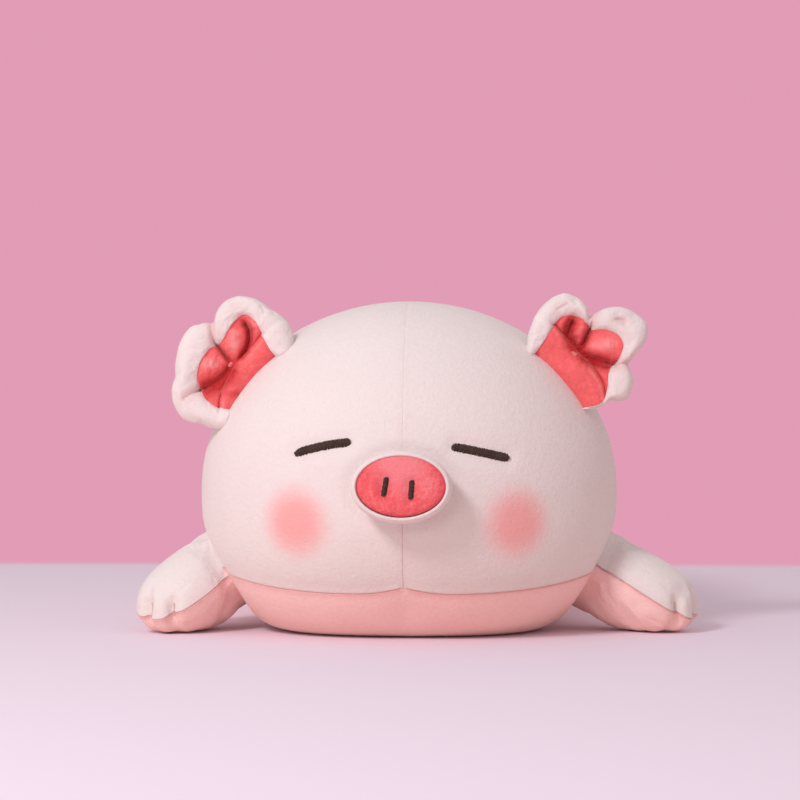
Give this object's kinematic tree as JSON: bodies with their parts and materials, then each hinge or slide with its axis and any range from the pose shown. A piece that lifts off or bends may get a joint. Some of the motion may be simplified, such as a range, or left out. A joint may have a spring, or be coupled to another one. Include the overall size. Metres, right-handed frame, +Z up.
{
  "type": "plush pig",
  "caption": "Stuffed soft toy pig lying flat on its belly, with splayed legs, gathered ears, an oval snout, stitched closed eyes and a curled tail.",
  "frame": {"origin": "on the surface it lies on, under the middle of its box", "axes": "the pig faces -Y, its own left side is +X, +Z is up"},
  "size_m": [0.3056, 0.4106, 0.1821],
  "materials": {
    "pale_plush": "short brushed pile, pale pink",
    "blush_plush": "short brushed pile, blush pink",
    "coral_plush": "short brushed pile, coral",
    "brown_thread": "satin-stitched embroidery thread",
    "coral_thread": "sewing thread",
    "white_fibre": "loose polyester fibre"
  },
  "bodies": {
    "trunk": {"upper_cover_left": "pale_plush", "upper_cover_right": "pale_plush", "belly_panel": "blush_plush", "body_fill": "white_fibre", "snout_wall": "pale_plush", "snout_face": "coral_plush", "snout_fill": "white_fibre", "nostril_left": "brown_thread", "nostril_right": "brown_thread", "eye_left": "brown_thread", "eye_right": "brown_thread"},
    "foreleg_left": {"foreleg_left_upper": "pale_plush", "foreleg_left_lower": "blush_plush", "foreleg_left_fill": "white_fibre", "foreleg_left_toe_stitch_front": "coral_thread", "foreleg_left_toe_stitch_rear": "coral_thread"},
    "foreleg_right": {"foreleg_right_upper": "pale_plush", "foreleg_right_lower": "blush_plush", "foreleg_right_fill": "white_fibre", "foreleg_right_toe_stitch_front": "coral_thread", "foreleg_right_toe_stitch_rear": "coral_thread"},
    "hindleg_left": {"hindleg_left_upper": "pale_plush", "hindleg_left_lower": "blush_plush", "hindleg_left_fill": "white_fibre", "hindleg_left_toe_stitch_front": "coral_thread", "hindleg_left_toe_stitch_rear": "coral_thread"},
    "hindleg_right": {"hindleg_right_upper": "pale_plush", "hindleg_right_lower": "blush_plush", "hindleg_right_fill": "white_fibre", "hindleg_right_toe_stitch_front": "coral_thread", "hindleg_right_toe_stitch_rear": "coral_thread"},
    "ear_left": {"ear_left_cover": "pale_plush", "ear_left_lining": "coral_plush", "ear_left_wadding": "white_fibre", "ear_left_tack": "coral_thread"},
    "ear_right": {"ear_right_cover": "pale_plush", "ear_right_lining": "coral_plush", "ear_right_wadding": "white_fibre", "ear_right_tack": "coral_thread"},
    "tail": {"tail": "pale_plush"}
  },
  "joints": [
    {"name": "foreleg_left_raise", "type": "hinge", "parent": "trunk", "child": "foreleg_left", "pos_m": [0.10561, -0.08143, 0.05476], "axis": [0.0254, -0.9997, 0], "range_deg": [0, 45], "stiffness_Nm_per_rad": 0.05},
    {"name": "foreleg_right_raise", "type": "hinge", "parent": "trunk", "child": "foreleg_right", "pos_m": [-0.11843, -0.08143, 0.05476], "axis": [0.0257, 0.9997, 0], "range_deg": [0, 45], "stiffness_Nm_per_rad": 0.05},
    {"name": "hindleg_left_raise", "type": "hinge", "parent": "trunk", "child": "hindleg_left", "pos_m": [0.08108, 0.09457, 0.05695], "axis": [0.3308, -0.9437, 0], "range_deg": [0, 40], "stiffness_Nm_per_rad": 0.05},
    {"name": "hindleg_right_raise", "type": "hinge", "parent": "trunk", "child": "hindleg_right", "pos_m": [-0.09391, 0.09457, 0.05695], "axis": [0.3307, 0.9437, 0], "range_deg": [0, 40], "stiffness_Nm_per_rad": 0.05},
    {"name": "ear_left_fold", "type": "hinge", "parent": "trunk", "child": "ear_left", "pos_m": [0.07701, -0.12163, 0.14366], "axis": [0.7431, 0, -0.6691], "range_deg": [-25, 45], "stiffness_Nm_per_rad": 0.03},
    {"name": "ear_right_fold", "type": "hinge", "parent": "trunk", "child": "ear_right", "pos_m": [-0.09419, -0.12163, 0.13897], "axis": [0.6293, 0, 0.7771], "range_deg": [-25, 45], "stiffness_Nm_per_rad": 0.03},
    {"name": "tail_wag", "type": "hinge", "parent": "trunk", "child": "tail", "pos_m": [-0.00641, 0.17333, 0.10221], "axis": [0, 0, 1], "range_deg": [-25, 25], "stiffness_Nm_per_rad": 0.02}
  ]
}
